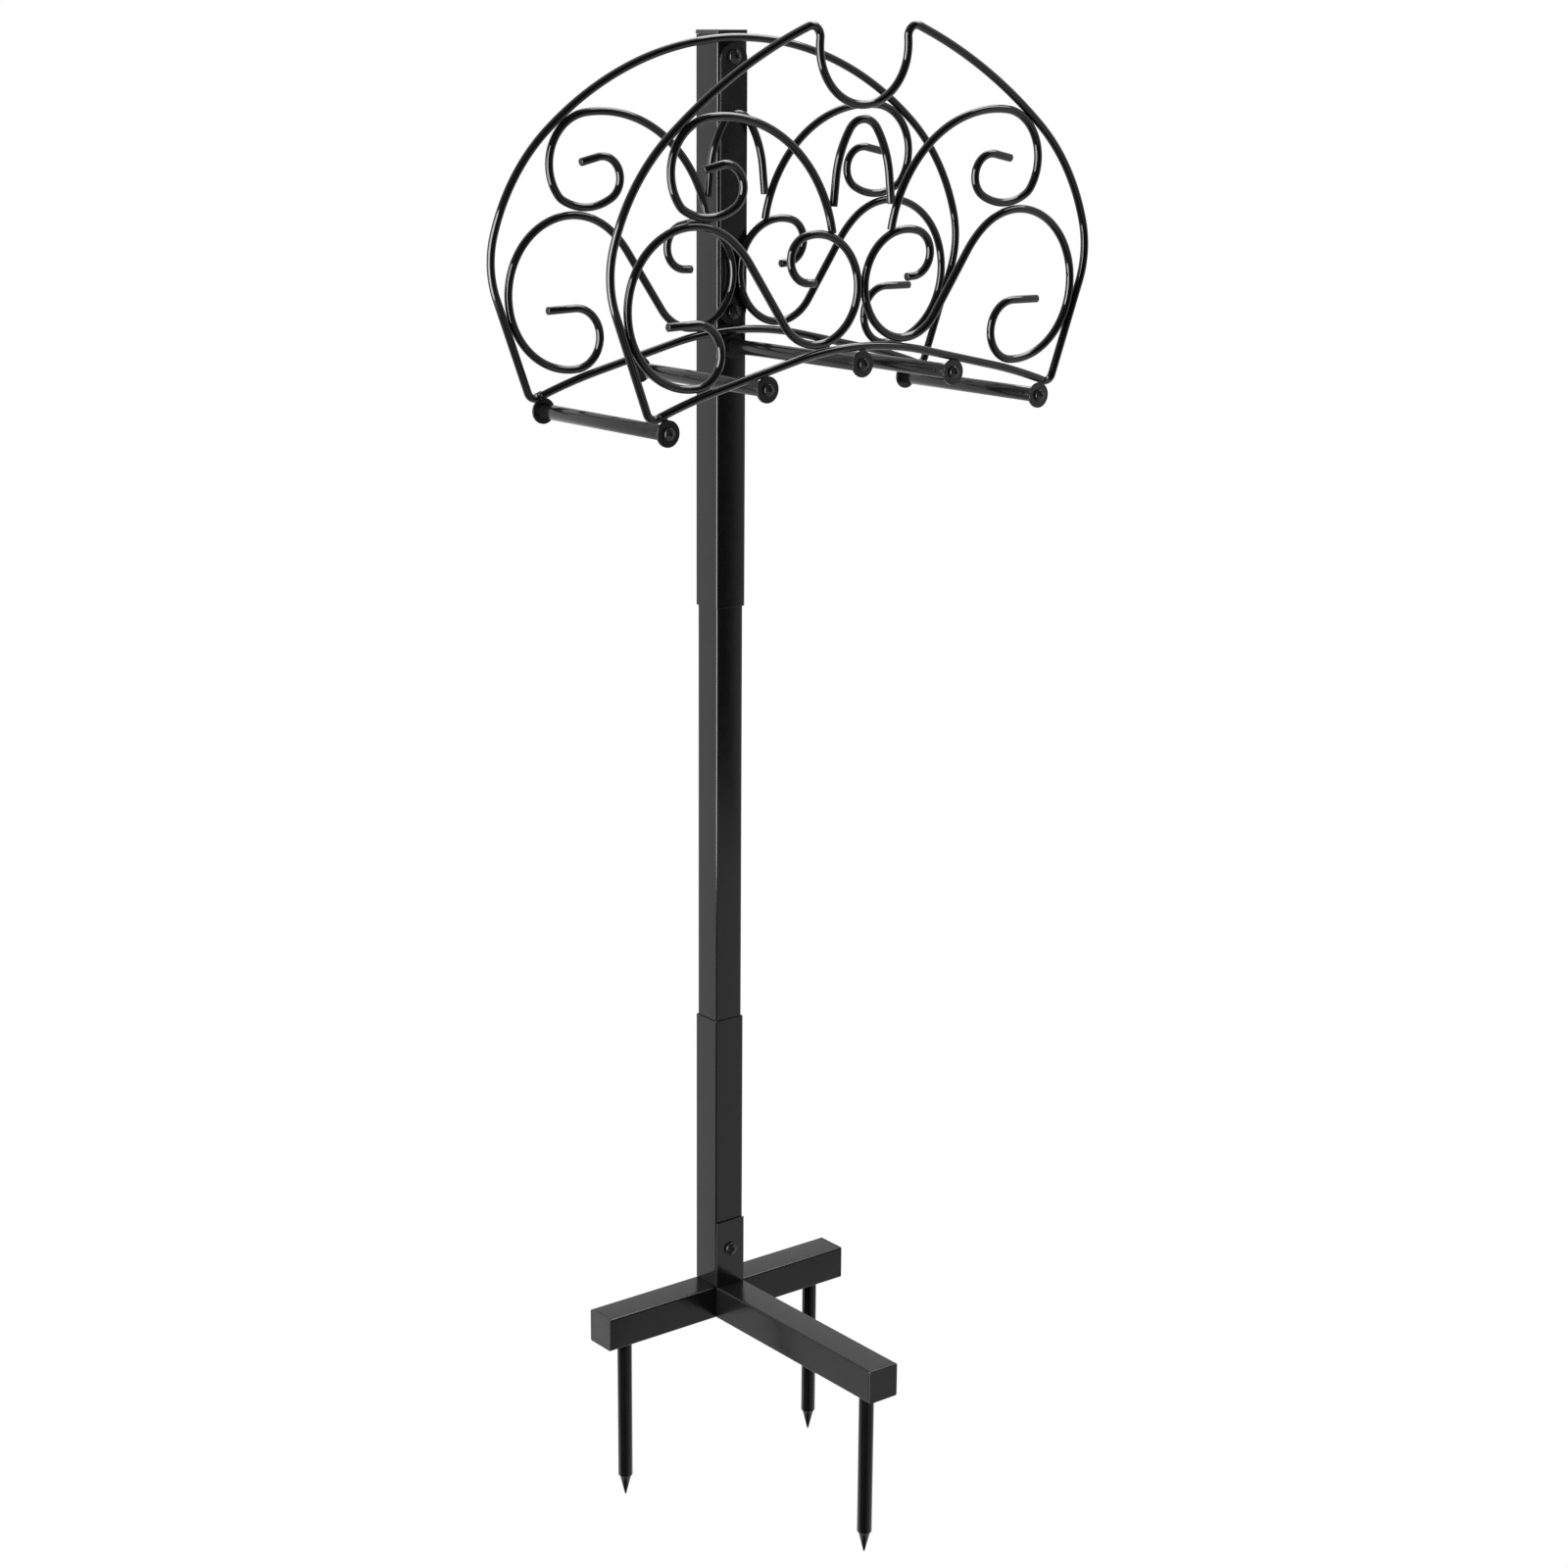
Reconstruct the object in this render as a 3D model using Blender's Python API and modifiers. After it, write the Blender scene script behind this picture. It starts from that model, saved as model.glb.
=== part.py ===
"""Free-standing garden hose holder.

A square three-piece pole stands on a T-shaped base with three ground spikes. Two
scrolled wire panels near the top, one against the pole and one in front of it, are
joined by five bars that carry the coiled hose.

Frame: +Z up, the panels face -Y, the object is symmetric about X = 0. The origin is on
the pole's axis at ground level, which is the underside of the base tubes.
"""

import math

import bmesh
import bpy
from mathutils import Matrix, Vector

MM = 0.001
GAP = 0.0003

# Base: crossbar along X, front leg along -Y, both of the pole's square tube.
TUBE = 0.030
TUBE_WALL = 0.0015
TUBE_EDGE = 0.0012
CROSSBAR_HALF = 0.1324
LEG_END = 0.2303
CAP_FLANGE = 0.0020
CAP_PLUG = 0.010
PLUG_FIT = 0.0004

# Ground spikes: round rods with a cone point.
SPIKE_R = 0.0065
SPIKE_LENGTH = 0.153
SPIKE_CONE = 0.020
SPIKE_TIP_R = 0.0006
CROSSBAR_SPIKE_X = 0.106
LEG_SPIKE_Y = -0.208

# Foot plate that stands on the front leg and takes the base bolt.
FOOT_PLATE_T = 0.0016
FOOT_PLATE_TOP = 0.0917
BASE_BOLT_Z = 0.0645

# Pole: the middle tube slides into sockets in the lower and upper tubes.
LOWER_TOP = 0.2827
UPPER_BOTTOM = 0.6517
UPPER_TOP = 1.1225
SOCKET_DEPTH = 0.065
SOCKET_BORE = 0.0281
POLE_BORE = 0.0260
MIDDLE_TUBE = 0.0275
MIDDLE_WALL = 0.0012
TOP_CAP_T = 0.0033
TOP_CAP_LIP = 0.0004

# Flat strip that carries the rear panel on the pole's front face.
STRIP_HALF = 0.0135
STRIP_T = 0.0020
STRIP_LOW = 0.8895
STRIP_HIGH = 1.1160
STRIP_BOLT_LOW = 0.9006
STRIP_BOLT_HIGH = 1.1050

# Panels of bent wire. Every bend below is in millimetres and degrees.
WIRE_R = 0.00325
REAR_Y = -(TUBE / 2 + STRIP_T + 2 * GAP + WIRE_R)
FRONT_Y = -0.180

# Hose bars and the round ears that their ends are screwed to.
BAR_R = 0.0060
BAR_BORE_R = 0.0027
BAR_BORE_DEPTH = 0.016
BAR_PLACES = (
    (-0.190, 0.8340),
    (-0.095, 0.8599),
    (0.0, 0.8728),
    (0.095, 0.8599),
    (0.190, 0.8340),
)
EAR_R = 0.0104
EAR_T = 0.0020
EAR_TAB_HALF = 0.0031
EAR_HOLE_R = 0.0028
FRONT_EAR_Y = FRONT_Y - 0.0018

# Pan head screws: bolts through the tubes, and smaller screws in the bar ends.
# Each is a head radius, a head height and a shank radius.
BOLT_HEAD = (0.0060, 0.0040, 0.0029)
EAR_HEAD = (0.0048, 0.0034, 0.0024)
RECESS_REACH = 0.52
RECESS_WIDTH = 0.0011
BOLT_HOLE_R = 0.0033
SHORT_SHANK = 0.014
BASE_SHANK = TUBE + FOOT_PLATE_T + 2 * GAP + 0.0062
NUT_R = 0.0058
NUT_T = 0.0050
HEAD_GAP = 0.0002

# A straight is (length,) and a bend is (radius, angle), where + turns left.
SIDE = ((1.5,), (7.5, -89.0), (79.3,), (77.5, -36.7), (162.8, -33.4))
REAR_DOME = SIDE + ((287.8, -40.4),)
FRONT_DOME = SIDE + ((454.5, -19.3), (8.4, -117.4), (47.5, 12.9), (44.1, 83.4))
OUTLINE_START = (-196.45, 845.9, 199.5)
RAIL = ((305.2, 12.8), (74.25,), (500.0, 6.7))
RAIL_MIDDLE = (0.0, 886.4, 180.0)
UPPER_SCROLL = (
    (109.7, 84.6),
    (39.3, 120.6),
    (15.0, 23.2),
    (47.0, 59.4),
    (17.5, 162.9),
    (17.2,),
)
UPPER_START = (-30.2, 977.6, 101.7)
LOWER_SCROLL = (
    (7.5,),
    (17.9, -160.7),
    (42.4, -174.2),
    (38.9, -77.1),
    (58.8,),
    (84.6, 16.5),
    (60.3, 222.6),
    (24.0, 176.9),
    (26.0,),
)
LOWER_START = (-46.2, 937.9, 177.1)
HAIRPIN = ((16.5, 56.0), (80.0, 28.0), (19.0,))
HAIRPIN_TOP = (0.0, 1060.2, 180.0)
CHORD_ERROR = 0.22
MOST_STEP = 18.0


# ---------------------------------------------------------------- scene and materials
for old in list(bpy.data.objects):
    bpy.data.objects.remove(old, do_unlink=True)

parts = bpy.data.collections.new("garden_hose_holder")
cutters = bpy.data.collections.new("cutters")
bpy.context.scene.collection.children.link(parts)
bpy.context.scene.collection.children.link(cutters)


def principled(name, colour, metallic, roughness):
    material = bpy.data.materials.new(name)
    material.use_nodes = True
    shader = material.node_tree.nodes["Principled BSDF"]
    shader.inputs["Base Color"].default_value = (*colour, 1.0)
    shader.inputs["Metallic"].default_value = metallic
    shader.inputs["Roughness"].default_value = roughness
    return material


TUBE_COAT = principled("black_powder_coat", (0.030, 0.030, 0.031), 0.0, 0.45)
WIRE_COAT = principled("black_gloss_coat", (0.016, 0.016, 0.017), 0.0, 0.22)
PLATE_COAT = principled("black_plate_coat", (0.020, 0.020, 0.021), 0.0, 0.40)
CAP_PLASTIC = principled("black_plastic", (0.026, 0.026, 0.027), 0.0, 0.50)
SCREW_FINISH = principled("black_oxide_screw", (0.030, 0.030, 0.031), 0.8, 0.28)


def add(name, data, material, collection=parts):
    obj = bpy.data.objects.new(name, data)
    collection.objects.link(obj)
    if material:
        data.materials.append(material)
    return obj


def finish(mesh, bm, smooth_angle=35.0):
    bmesh.ops.recalc_face_normals(bm, faces=bm.faces)
    bm.to_mesh(mesh)
    bm.free()
    mesh.shade_smooth()
    mesh.set_sharp_from_angle(angle=math.radians(smooth_angle))


# ---------------------------------------------------------------- shape makers
def box(name, size, centre, material, edge=0.0, along=None):
    """A block, with the four edges along one axis rounded when edge is given."""
    mesh = bpy.data.meshes.new(name)
    bm = bmesh.new()
    bmesh.ops.create_cube(bm, size=1.0)
    bmesh.ops.scale(bm, vec=Vector(size), verts=bm.verts)
    if edge:
        axis = Vector([1.0 if i == along else 0.0 for i in range(3)])
        chosen = []
        for e in bm.edges:
            run = (e.verts[1].co - e.verts[0].co).normalized()
            if abs(run.dot(axis)) > 0.99:
                chosen.append(e)
        bmesh.ops.bevel(
            bm, geom=chosen, offset=edge, segments=2, profile=0.5, affect="EDGES"
        )
    finish(mesh, bm)
    obj = add(name, mesh, material, parts if material else cutters)
    obj.location = centre
    if not material:
        obj.hide_render = True
        obj.display_type = "WIRE"
    return obj


def rod(name, radius, length, centre, direction, material, segments):
    """A cylinder centred on a point, with its axis along a direction."""
    mesh = bpy.data.meshes.new(name)
    bm = bmesh.new()
    bmesh.ops.create_cone(
        bm,
        cap_ends=True,
        segments=segments,
        radius1=radius,
        radius2=radius,
        depth=length,
    )
    finish(mesh, bm)
    obj = add(name, mesh, material, parts if material else cutters)
    obj.location = centre
    turn = Vector((0, 0, 1)).rotation_difference(Vector(direction))
    obj.rotation_mode = "QUATERNION"
    obj.rotation_quaternion = turn
    if not material:
        obj.hide_render = True
        obj.display_type = "WIRE"
    return obj


def cut(obj, cutter):
    modifier = obj.modifiers.new(cutter.name, "BOOLEAN")
    modifier.operation = "DIFFERENCE"
    modifier.solver = "EXACT"
    modifier.object = cutter
    return obj


def turned(name, profile, steps, material):
    """A profile of (radius, height) points, top to bottom, turned about Z."""
    mesh = bpy.data.meshes.new(name)
    points = [(radius, 0.0, height) for radius, height in profile]
    edges = [(i, i + 1) for i in range(len(points) - 1)]
    mesh.from_pydata(points, edges, [])
    obj = add(name, mesh, material)
    screw = obj.modifiers.new("turn", "SCREW")
    screw.axis = "Z"
    screw.steps = steps
    screw.render_steps = steps
    screw.use_merge_vertices = True
    screw.merge_threshold = 0.00001
    screw.use_smooth_shade = True
    return obj


def baked(obj):
    """The object's evaluated mesh, with the object itself removed."""
    bpy.context.view_layer.update()
    graph = bpy.context.evaluated_depsgraph_get()
    mesh = bpy.data.meshes.new_from_object(obj.evaluated_get(graph))
    bpy.data.objects.remove(obj, do_unlink=True)
    return mesh


def bend_path(start, bends):
    """Points in millimetres along a run of straights and bends."""
    x, z, heading = start[0], start[1], math.radians(start[2])
    points = [(x, z)]
    for bend in bends:
        if len(bend) == 1:
            x += bend[0] * math.cos(heading)
            z += bend[0] * math.sin(heading)
            points.append((x, z))
            continue
        radius, angle = bend[0], math.radians(bend[1])
        side = math.copysign(1.0, angle)
        centre_x = x - side * radius * math.sin(heading)
        centre_z = z + side * radius * math.cos(heading)
        step = min(math.radians(MOST_STEP), 2 * math.acos(1 - CHORD_ERROR / radius))
        count = max(2, math.ceil(abs(angle) / step))
        for i in range(1, count + 1):
            now = heading + angle * i / count
            x = centre_x + side * radius * math.sin(now)
            z = centre_z - side * radius * math.cos(now)
            points.append((x, z))
        heading += angle
    return points


def mirrored(points):
    return [(-x, z) for x, z in points]


def closed_over_middle(half):
    """A half path that ends on X = 0, carried on to its mirror image."""
    half = half[:-1] + [(0.0, half[-1][1])]
    return half + mirrored(half[:-1])[::-1]


def wire(name, points, y, material=WIRE_COAT):
    curve = bpy.data.curves.new(name, "CURVE")
    curve.dimensions = "3D"
    curve.bevel_depth = WIRE_R
    curve.bevel_resolution = 2
    curve.use_fill_caps = True
    spline = curve.splines.new("POLY")
    spline.points.add(len(points) - 1)
    for target, (x, z) in zip(spline.points, points):
        target.co = (x * MM, 0.0, z * MM, 1.0)
    obj = add(name, curve, material)
    obj.location = (0.0, y, 0.0)
    return obj


def flat_outline(name, outlines, thickness, material):
    """Closed outlines in the XZ plane filled and given a thickness along Y.

    The first outline is the edge and the others are holes. The result is a mesh."""
    curve = bpy.data.curves.new(name, "CURVE")
    curve.dimensions = "2D"
    curve.fill_mode = "BOTH"
    curve.extrude = thickness / 2
    for outline in outlines:
        spline = curve.splines.new("POLY")
        spline.points.add(len(outline) - 1)
        for target, (x, z) in zip(spline.points, outline):
            target.co = (x, z, 0.0, 1.0)
        spline.use_cyclic_u = True
    guide = add(name, curve, None)
    mesh = baked(guide)
    bm = bmesh.new()
    bm.from_mesh(mesh)
    bmesh.ops.remove_doubles(bm, verts=bm.verts, dist=0.00001)
    bmesh.ops.rotate(
        bm,
        cent=(0, 0, 0),
        matrix=Matrix.Rotation(math.radians(90), 3, "X"),
        verts=bm.verts,
    )
    finish(mesh, bm)
    mesh.materials.clear()
    return add(name, mesh, material)


def circle(x, z, radius, count, first=0.0, turn=360.0):
    """Points on an arc, leaving out the last of a full circle."""
    steps = count if turn < 360.0 else count - 1
    found = []
    for i in range(steps + 1):
        angle = math.radians(first + turn * i / count)
        found.append((x + radius * math.cos(angle), z + radius * math.sin(angle)))
    return found


# ---------------------------------------------------------------- fasteners
def screw_mesh(head, shank):
    """Pan head with a cross recess on +Z, its bearing face at Z = 0, shank below."""
    head_r, head_h, shank_r = head
    dome = []
    steps = 3
    for i in range(steps + 1):
        angle = math.radians(78.0 * i / steps)
        radius = head_r * math.sin(angle) / math.sin(math.radians(78.0))
        height = head_h * (0.36 + 0.64 * math.cos(angle))
        dome.append((radius, height))
    profile = dome + [
        (head_r, 0.0),
        (shank_r, 0.0),
        (shank_r, -shank + 0.0008),
        (shank_r - 0.0008, -shank),
        (0.0, -shank),
    ]
    blank = turned("screw_blank", profile, 12, SCREW_FINISH)
    arm_length = 2 * RECESS_REACH * head_r
    arm = box("recess_a", (arm_length, RECESS_WIDTH, head_h), (0, 0, head_h), None)
    other = box("recess_b", (RECESS_WIDTH, arm_length, head_h), (0, 0, head_h), None)
    cut(blank, arm)
    cut(blank, other)
    mesh = baked(blank)
    bpy.data.objects.remove(arm, do_unlink=True)
    bpy.data.objects.remove(other, do_unlink=True)
    return mesh


FACING_FRONT = (math.radians(90), 0.0, 0.0)
FACING_BACK = (math.radians(-90), 0.0, 0.0)


def screw(name, mesh, location, rotation):
    obj = bpy.data.objects.new(name, mesh)
    parts.objects.link(obj)
    obj.location = location
    obj.rotation_euler = rotation
    return obj


base_bolt_mesh = screw_mesh(BOLT_HEAD, BASE_SHANK)
strip_bolt_mesh = screw_mesh(BOLT_HEAD, SHORT_SHANK)
ear_screw_mesh = screw_mesh(EAR_HEAD, SHORT_SHANK)

# ---------------------------------------------------------------- base
half = TUBE / 2
bore = TUBE - 2 * TUBE_WALL
tube_end = CROSSBAR_HALF - CAP_FLANGE - GAP
crossbar = box(
    "base_crossbar", (2 * tube_end, TUBE, TUBE), (0, 0, half), TUBE_COAT, TUBE_EDGE, 0
)
cut(crossbar, box("crossbar_bore", (0.4, bore, bore), (0, 0, half), None))

leg_near = half + GAP
leg_far = LEG_END - CAP_FLANGE - GAP
leg_mid = -(leg_near + leg_far) / 2
leg = box(
    "base_front_leg",
    (TUBE, leg_far - leg_near, TUBE),
    (0, leg_mid, half),
    TUBE_COAT,
    TUBE_EDGE,
    1,
)
cut(leg, box("leg_bore", (bore, 0.4, bore), (0, leg_mid, half), None))


def end_cap(name, face, outward, width=TUBE, flange=CAP_FLANGE, bore_width=bore):
    """A plug cap: a flange over the tube's end and a plug inside it."""
    mesh = bpy.data.meshes.new(name)
    bm = bmesh.new()
    bmesh.ops.create_cube(bm, size=1.0)
    bmesh.ops.scale(bm, vec=(width, width, flange), verts=bm.verts)
    bmesh.ops.translate(bm, vec=(0, 0, -flange / 2), verts=bm.verts)
    bm.faces.ensure_lookup_table()
    inner = min(bm.faces, key=lambda f: f.calc_center_median().z)
    outer = max(bm.faces, key=lambda f: f.calc_center_median().z)
    rim = list(outer.edges)
    plug = bore_width - 2 * PLUG_FIT
    bmesh.ops.inset_individual(
        bm, faces=[inner], thickness=(width - plug) / 2, use_even_offset=True
    )
    grown = bmesh.ops.extrude_face_region(bm, geom=[inner])
    moved = [g for g in grown["geom"] if isinstance(g, bmesh.types.BMVert)]
    bmesh.ops.translate(bm, vec=(0, 0, -CAP_PLUG), verts=moved)
    bmesh.ops.delete(bm, geom=[inner], context="FACES_ONLY")
    bmesh.ops.bevel(
        bm, geom=rim, offset=0.0007, segments=1, profile=0.5, affect="EDGES"
    )
    finish(mesh, bm, 25.0)
    obj = add(name, mesh, CAP_PLASTIC)
    obj.location = face
    obj.rotation_mode = "QUATERNION"
    obj.rotation_quaternion = Vector((0, 0, 1)).rotation_difference(Vector(outward))
    return obj


end_cap("base_cap_left", (-CROSSBAR_HALF, 0, half), (-1, 0, 0))
end_cap("base_cap_right", (CROSSBAR_HALF, 0, half), (1, 0, 0))
end_cap("base_cap_front", (0, -LEG_END, half), (0, -1, 0))

spike_profile = (
    (0.0, 0.0),
    (SPIKE_R, 0.0),
    (SPIKE_R, -(SPIKE_LENGTH - SPIKE_CONE)),
    (SPIKE_TIP_R, -SPIKE_LENGTH),
    (0.0, -SPIKE_LENGTH),
)
for name, x, y in (
    ("ground_spike_left", -CROSSBAR_SPIKE_X, 0.0),
    ("ground_spike_right", CROSSBAR_SPIKE_X, 0.0),
    ("ground_spike_front", 0.0, LEG_SPIKE_Y),
):
    spike = turned(name, spike_profile, 20, TUBE_COAT)
    spike.location = (x, y, -GAP)

plate_low = TUBE + GAP
plate_mid = (plate_low + FOOT_PLATE_TOP) / 2
plate_y = -(half + GAP + FOOT_PLATE_T / 2)
foot_plate = box(
    "base_foot_plate",
    (TUBE, FOOT_PLATE_T, FOOT_PLATE_TOP - plate_low),
    (0, plate_y, plate_mid),
    PLATE_COAT,
)
base_hole = rod(
    "base_bolt_hole", BOLT_HOLE_R, 0.1, (0, 0, BASE_BOLT_Z), (0, 1, 0), None, 20
)
cut(foot_plate, base_hole)
head_y = -(half + GAP + FOOT_PLATE_T + HEAD_GAP)
screw("base_bolt", base_bolt_mesh, (0, head_y, BASE_BOLT_Z), FACING_FRONT)
nut = rod(
    "base_nut",
    NUT_R,
    NUT_T,
    (0, half + HEAD_GAP + NUT_T / 2, BASE_BOLT_Z),
    (0, 1, 0),
    SCREW_FINISH,
    6,
)
cut(nut, rod("nut_bore", 0.0031, 0.1, (0, 0, BASE_BOLT_Z), (0, 1, 0), None, 20))

# ---------------------------------------------------------------- pole
lower_low = TUBE + GAP
lower = box(
    "pole_lower",
    (TUBE, TUBE, LOWER_TOP - lower_low),
    (0, 0, (lower_low + LOWER_TOP) / 2),
    TUBE_COAT,
    TUBE_EDGE,
    2,
)
through = box("lower_bore", (POLE_BORE, POLE_BORE, 0.4), (0, 0, 0.15), None)
socket = box(
    "lower_socket", (SOCKET_BORE, SOCKET_BORE, 2 * SOCKET_DEPTH), (0, 0, LOWER_TOP), None
)
for cutter in (through, socket, base_hole):
    cut(lower, cutter)

middle_low = LOWER_TOP - SOCKET_DEPTH + GAP
middle_high = UPPER_BOTTOM + SOCKET_DEPTH - GAP
middle_mid = (middle_low + middle_high) / 2
middle = box(
    "pole_middle",
    (MIDDLE_TUBE, MIDDLE_TUBE, middle_high - middle_low),
    (0, 0, middle_mid),
    TUBE_COAT,
    TUBE_EDGE,
    2,
)
middle_bore = MIDDLE_TUBE - 2 * MIDDLE_WALL
cut(middle, box("middle_bore", (middle_bore, middle_bore, 0.6), (0, 0, middle_mid), None))

upper = box(
    "pole_upper",
    (TUBE, TUBE, UPPER_TOP - UPPER_BOTTOM),
    (0, 0, (UPPER_BOTTOM + UPPER_TOP) / 2),
    TUBE_COAT,
    TUBE_EDGE,
    2,
)
through = box("upper_bore", (POLE_BORE, POLE_BORE, 0.6), (0, 0, 0.9), None)
socket = box(
    "upper_socket",
    (SOCKET_BORE, SOCKET_BORE, 2 * SOCKET_DEPTH),
    (0, 0, UPPER_BOTTOM),
    None,
)
for cutter in (through, socket):
    cut(upper, cutter)
for level in (STRIP_BOLT_LOW, STRIP_BOLT_HIGH):
    hole = rod(
        "strip_hole_%d" % round(level / MM),
        BOLT_HOLE_R,
        0.03,
        (0, -half, level),
        (0, 1, 0),
        None,
        20,
    )
    cut(upper, hole)
end_cap(
    "pole_top_cap",
    (0, 0, UPPER_TOP + HEAD_GAP + TOP_CAP_T),
    (0, 0, 1),
    TUBE + 2 * TOP_CAP_LIP,
    TOP_CAP_T,
    POLE_BORE,
)

# ---------------------------------------------------------------- rear strip
strip_edge = circle(0, STRIP_HIGH - STRIP_HALF, STRIP_HALF, 10, 0.0, 180.0)
strip_edge += circle(0, STRIP_LOW + STRIP_HALF, STRIP_HALF, 10, 180.0, 180.0)
strip = flat_outline(
    "rear_mounting_strip",
    (
        strip_edge,
        circle(0, STRIP_BOLT_LOW, BOLT_HOLE_R, 10),
        circle(0, STRIP_BOLT_HIGH, BOLT_HOLE_R, 10),
    ),
    STRIP_T,
    PLATE_COAT,
)
strip.location = (0, -(half + GAP + STRIP_T / 2), 0)
strip_head_y = -(half + GAP + STRIP_T + HEAD_GAP)
screw("strip_bolt_lower", strip_bolt_mesh, (0, strip_head_y, STRIP_BOLT_LOW), FACING_FRONT)
screw("strip_bolt_upper", strip_bolt_mesh, (0, strip_head_y, STRIP_BOLT_HIGH), FACING_FRONT)

# ---------------------------------------------------------------- wire panels
rail_left = bend_path(RAIL_MIDDLE, RAIL)
upper_left = bend_path(UPPER_START, UPPER_SCROLL)
lower_left = bend_path(LOWER_START, LOWER_SCROLL)
hairpin_left = bend_path(HAIRPIN_TOP, HAIRPIN)

for panel, y, dome in (("rear", REAR_Y, REAR_DOME), ("front", FRONT_Y, FRONT_DOME)):
    outline = closed_over_middle(bend_path(OUTLINE_START, dome))
    wire(panel + "_panel_outline", outline, y)
    wire(panel + "_bottom_rail", mirrored(rail_left[1:])[::-1] + rail_left, y)
    wire(panel + "_upper_scroll_left", upper_left, y)
    wire(panel + "_upper_scroll_right", mirrored(upper_left), y)
    wire(panel + "_lower_scroll_left", lower_left, y)
    wire(panel + "_lower_scroll_right", mirrored(lower_left), y)
    wire(panel + "_hairpin", mirrored(hairpin_left[1:])[::-1] + hairpin_left, y)


# ---------------------------------------------------------------- hose bars and ears
def rail_over(x, z):
    """Distance from a point up to the bottom rail, and the rail's slope there."""
    (bend_r, bend), (straight,), (tip_r, _) = RAIL
    bend, top = math.radians(bend), RAIL_MIDDLE[1]
    out = abs(x) / MM
    bend_x, bend_z = bend_r * math.sin(bend), top - bend_r * (1 - math.cos(bend))
    tip_x, tip_z = bend_x + straight * math.cos(bend), bend_z - straight * math.sin(bend)
    if out < bend_x:
        slope = math.asin(out / bend_r)
        rail_z = top - bend_r * (1 - math.cos(slope))
    elif out < tip_x:
        slope, rail_z = bend, bend_z - (out - bend_x) * math.tan(bend)
    else:
        slope = math.asin(math.sin(bend) + (out - tip_x) / tip_r)
        rail_z = tip_z - tip_r * (math.cos(bend) - math.cos(slope))
    return (rail_z * MM - z) * math.cos(slope), math.copysign(slope, x)


def ear_mesh(name, tab_top):
    """A disc round the origin with a tab, or else a flat, that reaches up to the rail."""
    reach = math.asin(EAR_TAB_HALF / EAR_R)
    flat = tab_top < EAR_R * math.cos(reach)
    reach = math.degrees(math.acos(tab_top / EAR_R) if flat else reach)
    edge = circle(0, 0, EAR_R, 16, 90.0 + reach, 360.0 - 2 * reach)
    if not flat:
        edge += [(EAR_TAB_HALF, tab_top), (-EAR_TAB_HALF, tab_top)]
    obj = flat_outline(name, (edge, circle(0, 0, EAR_HOLE_R, 10)), EAR_T, PLATE_COAT)
    mesh = obj.data
    bpy.data.objects.remove(obj, do_unlink=True)
    return mesh


# The front ears butt up under the rail and the rear ones lap behind it.
FRONT_TAB_SHORT = 0.0026
REAR_TAB_OVER = 0.0024
rear_ear_y = -(half + GAP)
bar_front = FRONT_EAR_Y + GAP
bar_back = rear_ear_y - EAR_T - GAP

for number, (x, z) in enumerate(BAR_PLACES, 1):
    drop, slope = rail_over(x, z)
    for side, tab_top, y in (
        ("front", drop - FRONT_TAB_SHORT, FRONT_EAR_Y - EAR_T / 2),
        ("rear", drop + REAR_TAB_OVER, rear_ear_y - EAR_T / 2),
    ):
        name = "%s_ear_%d" % (side, number)
        ear = bpy.data.objects.new(name, ear_mesh(name, tab_top))
        parts.objects.link(ear)
        ear.location = (x, y, z)
        ear.rotation_euler = (0.0, slope, 0.0)
    bar = rod(
        "hose_bar_%d" % number,
        BAR_R,
        bar_back - bar_front,
        (x, (bar_front + bar_back) / 2, z),
        (0, 1, 0),
        TUBE_COAT,
        16,
    )
    for side, end_y in (("front", bar_front), ("rear", bar_back)):
        bore_cutter = rod(
            "bar_bore_%d_%s" % (number, side),
            BAR_BORE_R,
            2 * BAR_BORE_DEPTH,
            (x, end_y, z),
            (0, 1, 0),
            None,
            10,
        )
        cut(bar, bore_cutter)
    head = FRONT_EAR_Y - EAR_T - HEAD_GAP
    screw("front_ear_screw_%d" % number, ear_screw_mesh, (x, head, z), FACING_FRONT)
    if x:
        head = rear_ear_y + HEAD_GAP
        screw("rear_ear_screw_%d" % number, ear_screw_mesh, (x, head, z), FACING_BACK)
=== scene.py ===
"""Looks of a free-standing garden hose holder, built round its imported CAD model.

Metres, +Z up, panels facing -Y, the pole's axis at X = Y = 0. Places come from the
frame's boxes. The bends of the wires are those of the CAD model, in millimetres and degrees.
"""

import math

import bmesh
import bpy
from mathutils import Matrix, Vector


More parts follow.
